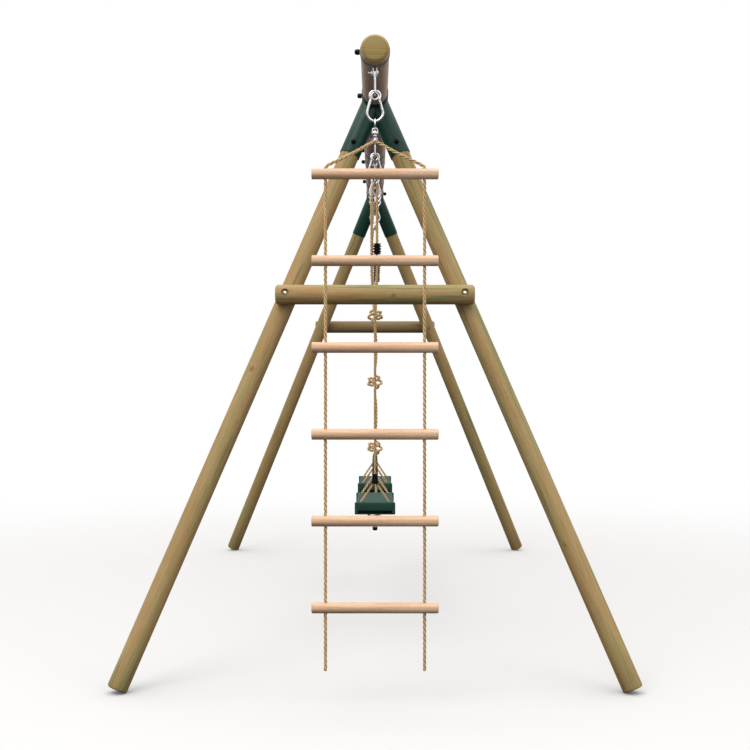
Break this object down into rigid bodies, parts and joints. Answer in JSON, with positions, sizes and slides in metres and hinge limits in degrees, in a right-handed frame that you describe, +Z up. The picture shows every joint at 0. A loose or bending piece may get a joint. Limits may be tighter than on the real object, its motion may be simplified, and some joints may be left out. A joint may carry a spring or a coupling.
{
  "type": "swing set",
  "caption": "Round-timber A-frame swing set: top beam in steel brackets, hanging rope seats, knotted climbing rope and rope ladder at one end.",
  "frame": {"origin": "on the ground at the middle of the whole set, below the top beam", "axes": "+Y along the top beam away from the rope ladder, +Z up, +X across, to the right seen from the ladder end"},
  "size_m": [1.7504, 3.3645, 2.0992],
  "materials": {
    "timber": "round pressure-treated pine, tan-olive with green and orange-brown streaks",
    "rung_wood": "smooth turned beech, lightly oiled",
    "green_steel": "dark green satin powder coat",
    "zinc_steel": "bright zinc plate",
    "black_plastic": "black moulded plastic",
    "rope": "three-strand twisted hemp-coloured rope",
    "green_plastic": "dark green moulded plastic with a fine texture"
  },
  "bodies": {
    "frame": {"top_beam": "timber", "near_bracket": "green_steel", "near_left_leg": "timber", "near_right_leg": "timber", "near_left_socket_bolt": "zinc_steel", "near_right_socket_bolt": "zinc_steel", "near_beam_bolt": "zinc_steel", "near_crossbar": "timber", "near_left_crossbar_bolt": "zinc_steel", "near_right_crossbar_bolt": "zinc_steel", "far_bracket": "green_steel", "far_left_leg": "timber", "far_right_leg": "timber", "far_left_socket_bolt": "zinc_steel", "far_right_socket_bolt": "zinc_steel", "far_beam_bolt": "zinc_steel", "far_crossbar": "timber", "far_left_crossbar_bolt": "zinc_steel", "far_right_crossbar_bolt": "zinc_steel", "ladder_clamp": "zinc_steel", "climbing_rope_clamp": "zinc_steel", "swing_1_clamp_near": "zinc_steel", "swing_1_clamp_far": "zinc_steel", "swing_2_clamp_near": "zinc_steel", "swing_2_clamp_far": "zinc_steel"},
    "ladder_link": {"ladder_link": "zinc_steel"},
    "ladder_hook": {"ladder_hook": "zinc_steel"},
    "ladder_gate": {"ladder_hook_gate": "zinc_steel"},
    "ladder": {"ladder_swivel_eye": "zinc_steel", "ladder_rope": "rope", "ladder_rung_1": "rung_wood", "ladder_rung_2": "rung_wood", "ladder_rung_3": "rung_wood", "ladder_rung_4": "rung_wood", "ladder_rung_5": "rung_wood", "ladder_rung_6": "rung_wood"},
    "climbing_rope_link": {"climbing_rope_link": "zinc_steel"},
    "climbing_rope": {"climbing_rope_hook": "zinc_steel", "climbing_rope": "rope", "climbing_rope_end_cap": "black_plastic"},
    "climbing_rope_gate": {"climbing_rope_hook_gate": "zinc_steel"},
    "swing_1": {"swing_1_hook_near": "zinc_steel", "swing_1_hook_far": "zinc_steel", "swing_1_rope_near": "rope", "swing_1_rope_far": "rope", "swing_1_sleeve_near": "black_plastic", "swing_1_sleeve_far": "black_plastic", "swing_1_seat": "green_plastic"},
    "swing_1_adjuster_near": {"swing_1_adjuster_near": "black_plastic"},
    "swing_1_adjuster_far": {"swing_1_adjuster_far": "black_plastic"},
    "swing_2": {"swing_2_hook_near": "zinc_steel", "swing_2_hook_far": "zinc_steel", "swing_2_rope_near": "rope", "swing_2_rope_far": "rope", "swing_2_sleeve_near": "black_plastic", "swing_2_sleeve_far": "black_plastic", "swing_2_seat": "green_plastic"},
    "swing_2_adjuster_near": {"swing_2_adjuster_near": "black_plastic"},
    "swing_2_adjuster_far": {"swing_2_adjuster_far": "black_plastic"}
  },
  "joints": [
    {"name": "ladder_link_tilt", "type": "hinge", "parent": "frame", "child": "ladder_link", "pos_m": [0, -1.65134, 1.986], "axis": [1, 0, 0], "range_deg": [-30, 20]},
    {"name": "ladder_swing", "type": "hinge", "parent": "ladder_link", "child": "ladder_hook", "pos_m": [0, -1.65134, 1.918], "axis": [0, 1, 0], "range_deg": [-50, 50]},
    {"name": "ladder_twist", "type": "hinge", "parent": "ladder_hook", "child": "ladder", "pos_m": [0, -1.65134, 1.8], "axis": [0, 0, 1], "continuous": true},
    {"name": "ladder_gate_hinge", "type": "hinge", "parent": "ladder_hook", "child": "ladder_gate", "pos_m": [0.0159, -1.65134, 1.8964], "axis": [0, 1, 0], "range_deg": [0, 25]},
    {"name": "climbing_rope_link_tilt", "type": "hinge", "parent": "frame", "child": "climbing_rope_link", "pos_m": [0, 0.08766, 1.986], "axis": [1, 0, 0], "range_deg": [-6, 6]},
    {"name": "climbing_rope_swing", "type": "hinge", "parent": "climbing_rope_link", "child": "climbing_rope", "pos_m": [0, 0.08766, 1.918], "axis": [0, 1, 0], "range_deg": [-50, 50]},
    {"name": "climbing_rope_gate_hinge", "type": "hinge", "parent": "climbing_rope", "child": "climbing_rope_gate", "pos_m": [0.0159, 0.08766, 1.8964], "axis": [0, 1, 0], "range_deg": [0, 25]},
    {"name": "swing_1_swing", "type": "hinge", "parent": "frame", "child": "swing_1", "pos_m": [0, -0.33484, 1.918], "axis": [0, 1, 0], "range_deg": [-55, 55]},
    {"name": "swing_1_adjuster_slide_near", "type": "slide", "parent": "swing_1", "child": "swing_1_adjuster_near", "axis": [0, -0.0801, 0.9968], "range_m": [-0.08, 0.15]},
    {"name": "swing_1_adjuster_slide_far", "type": "slide", "parent": "swing_1", "child": "swing_1_adjuster_far", "axis": [0, 0.0801, 0.9968], "range_m": [-0.08, 0.15]},
    {"name": "swing_2_swing", "type": "hinge", "parent": "frame", "child": "swing_2", "pos_m": [0, 0.51016, 1.918], "axis": [0, 1, 0], "range_deg": [-55, 55]},
    {"name": "swing_2_adjuster_slide_near", "type": "slide", "parent": "swing_2", "child": "swing_2_adjuster_near", "axis": [0, -0.0801, 0.9968], "range_m": [-0.08, 0.15]},
    {"name": "swing_2_adjuster_slide_far", "type": "slide", "parent": "swing_2", "child": "swing_2_adjuster_far", "axis": [0, 0.0801, 0.9968], "range_m": [-0.08, 0.15]}
  ],
  "couplings": [
    {"joint": "swing_1_adjuster_slide_far", "follows": "swing_1_adjuster_slide_near", "ratio": 1},
    {"joint": "swing_2_adjuster_slide_far", "follows": "swing_2_adjuster_slide_near", "ratio": 1}
  ]
}
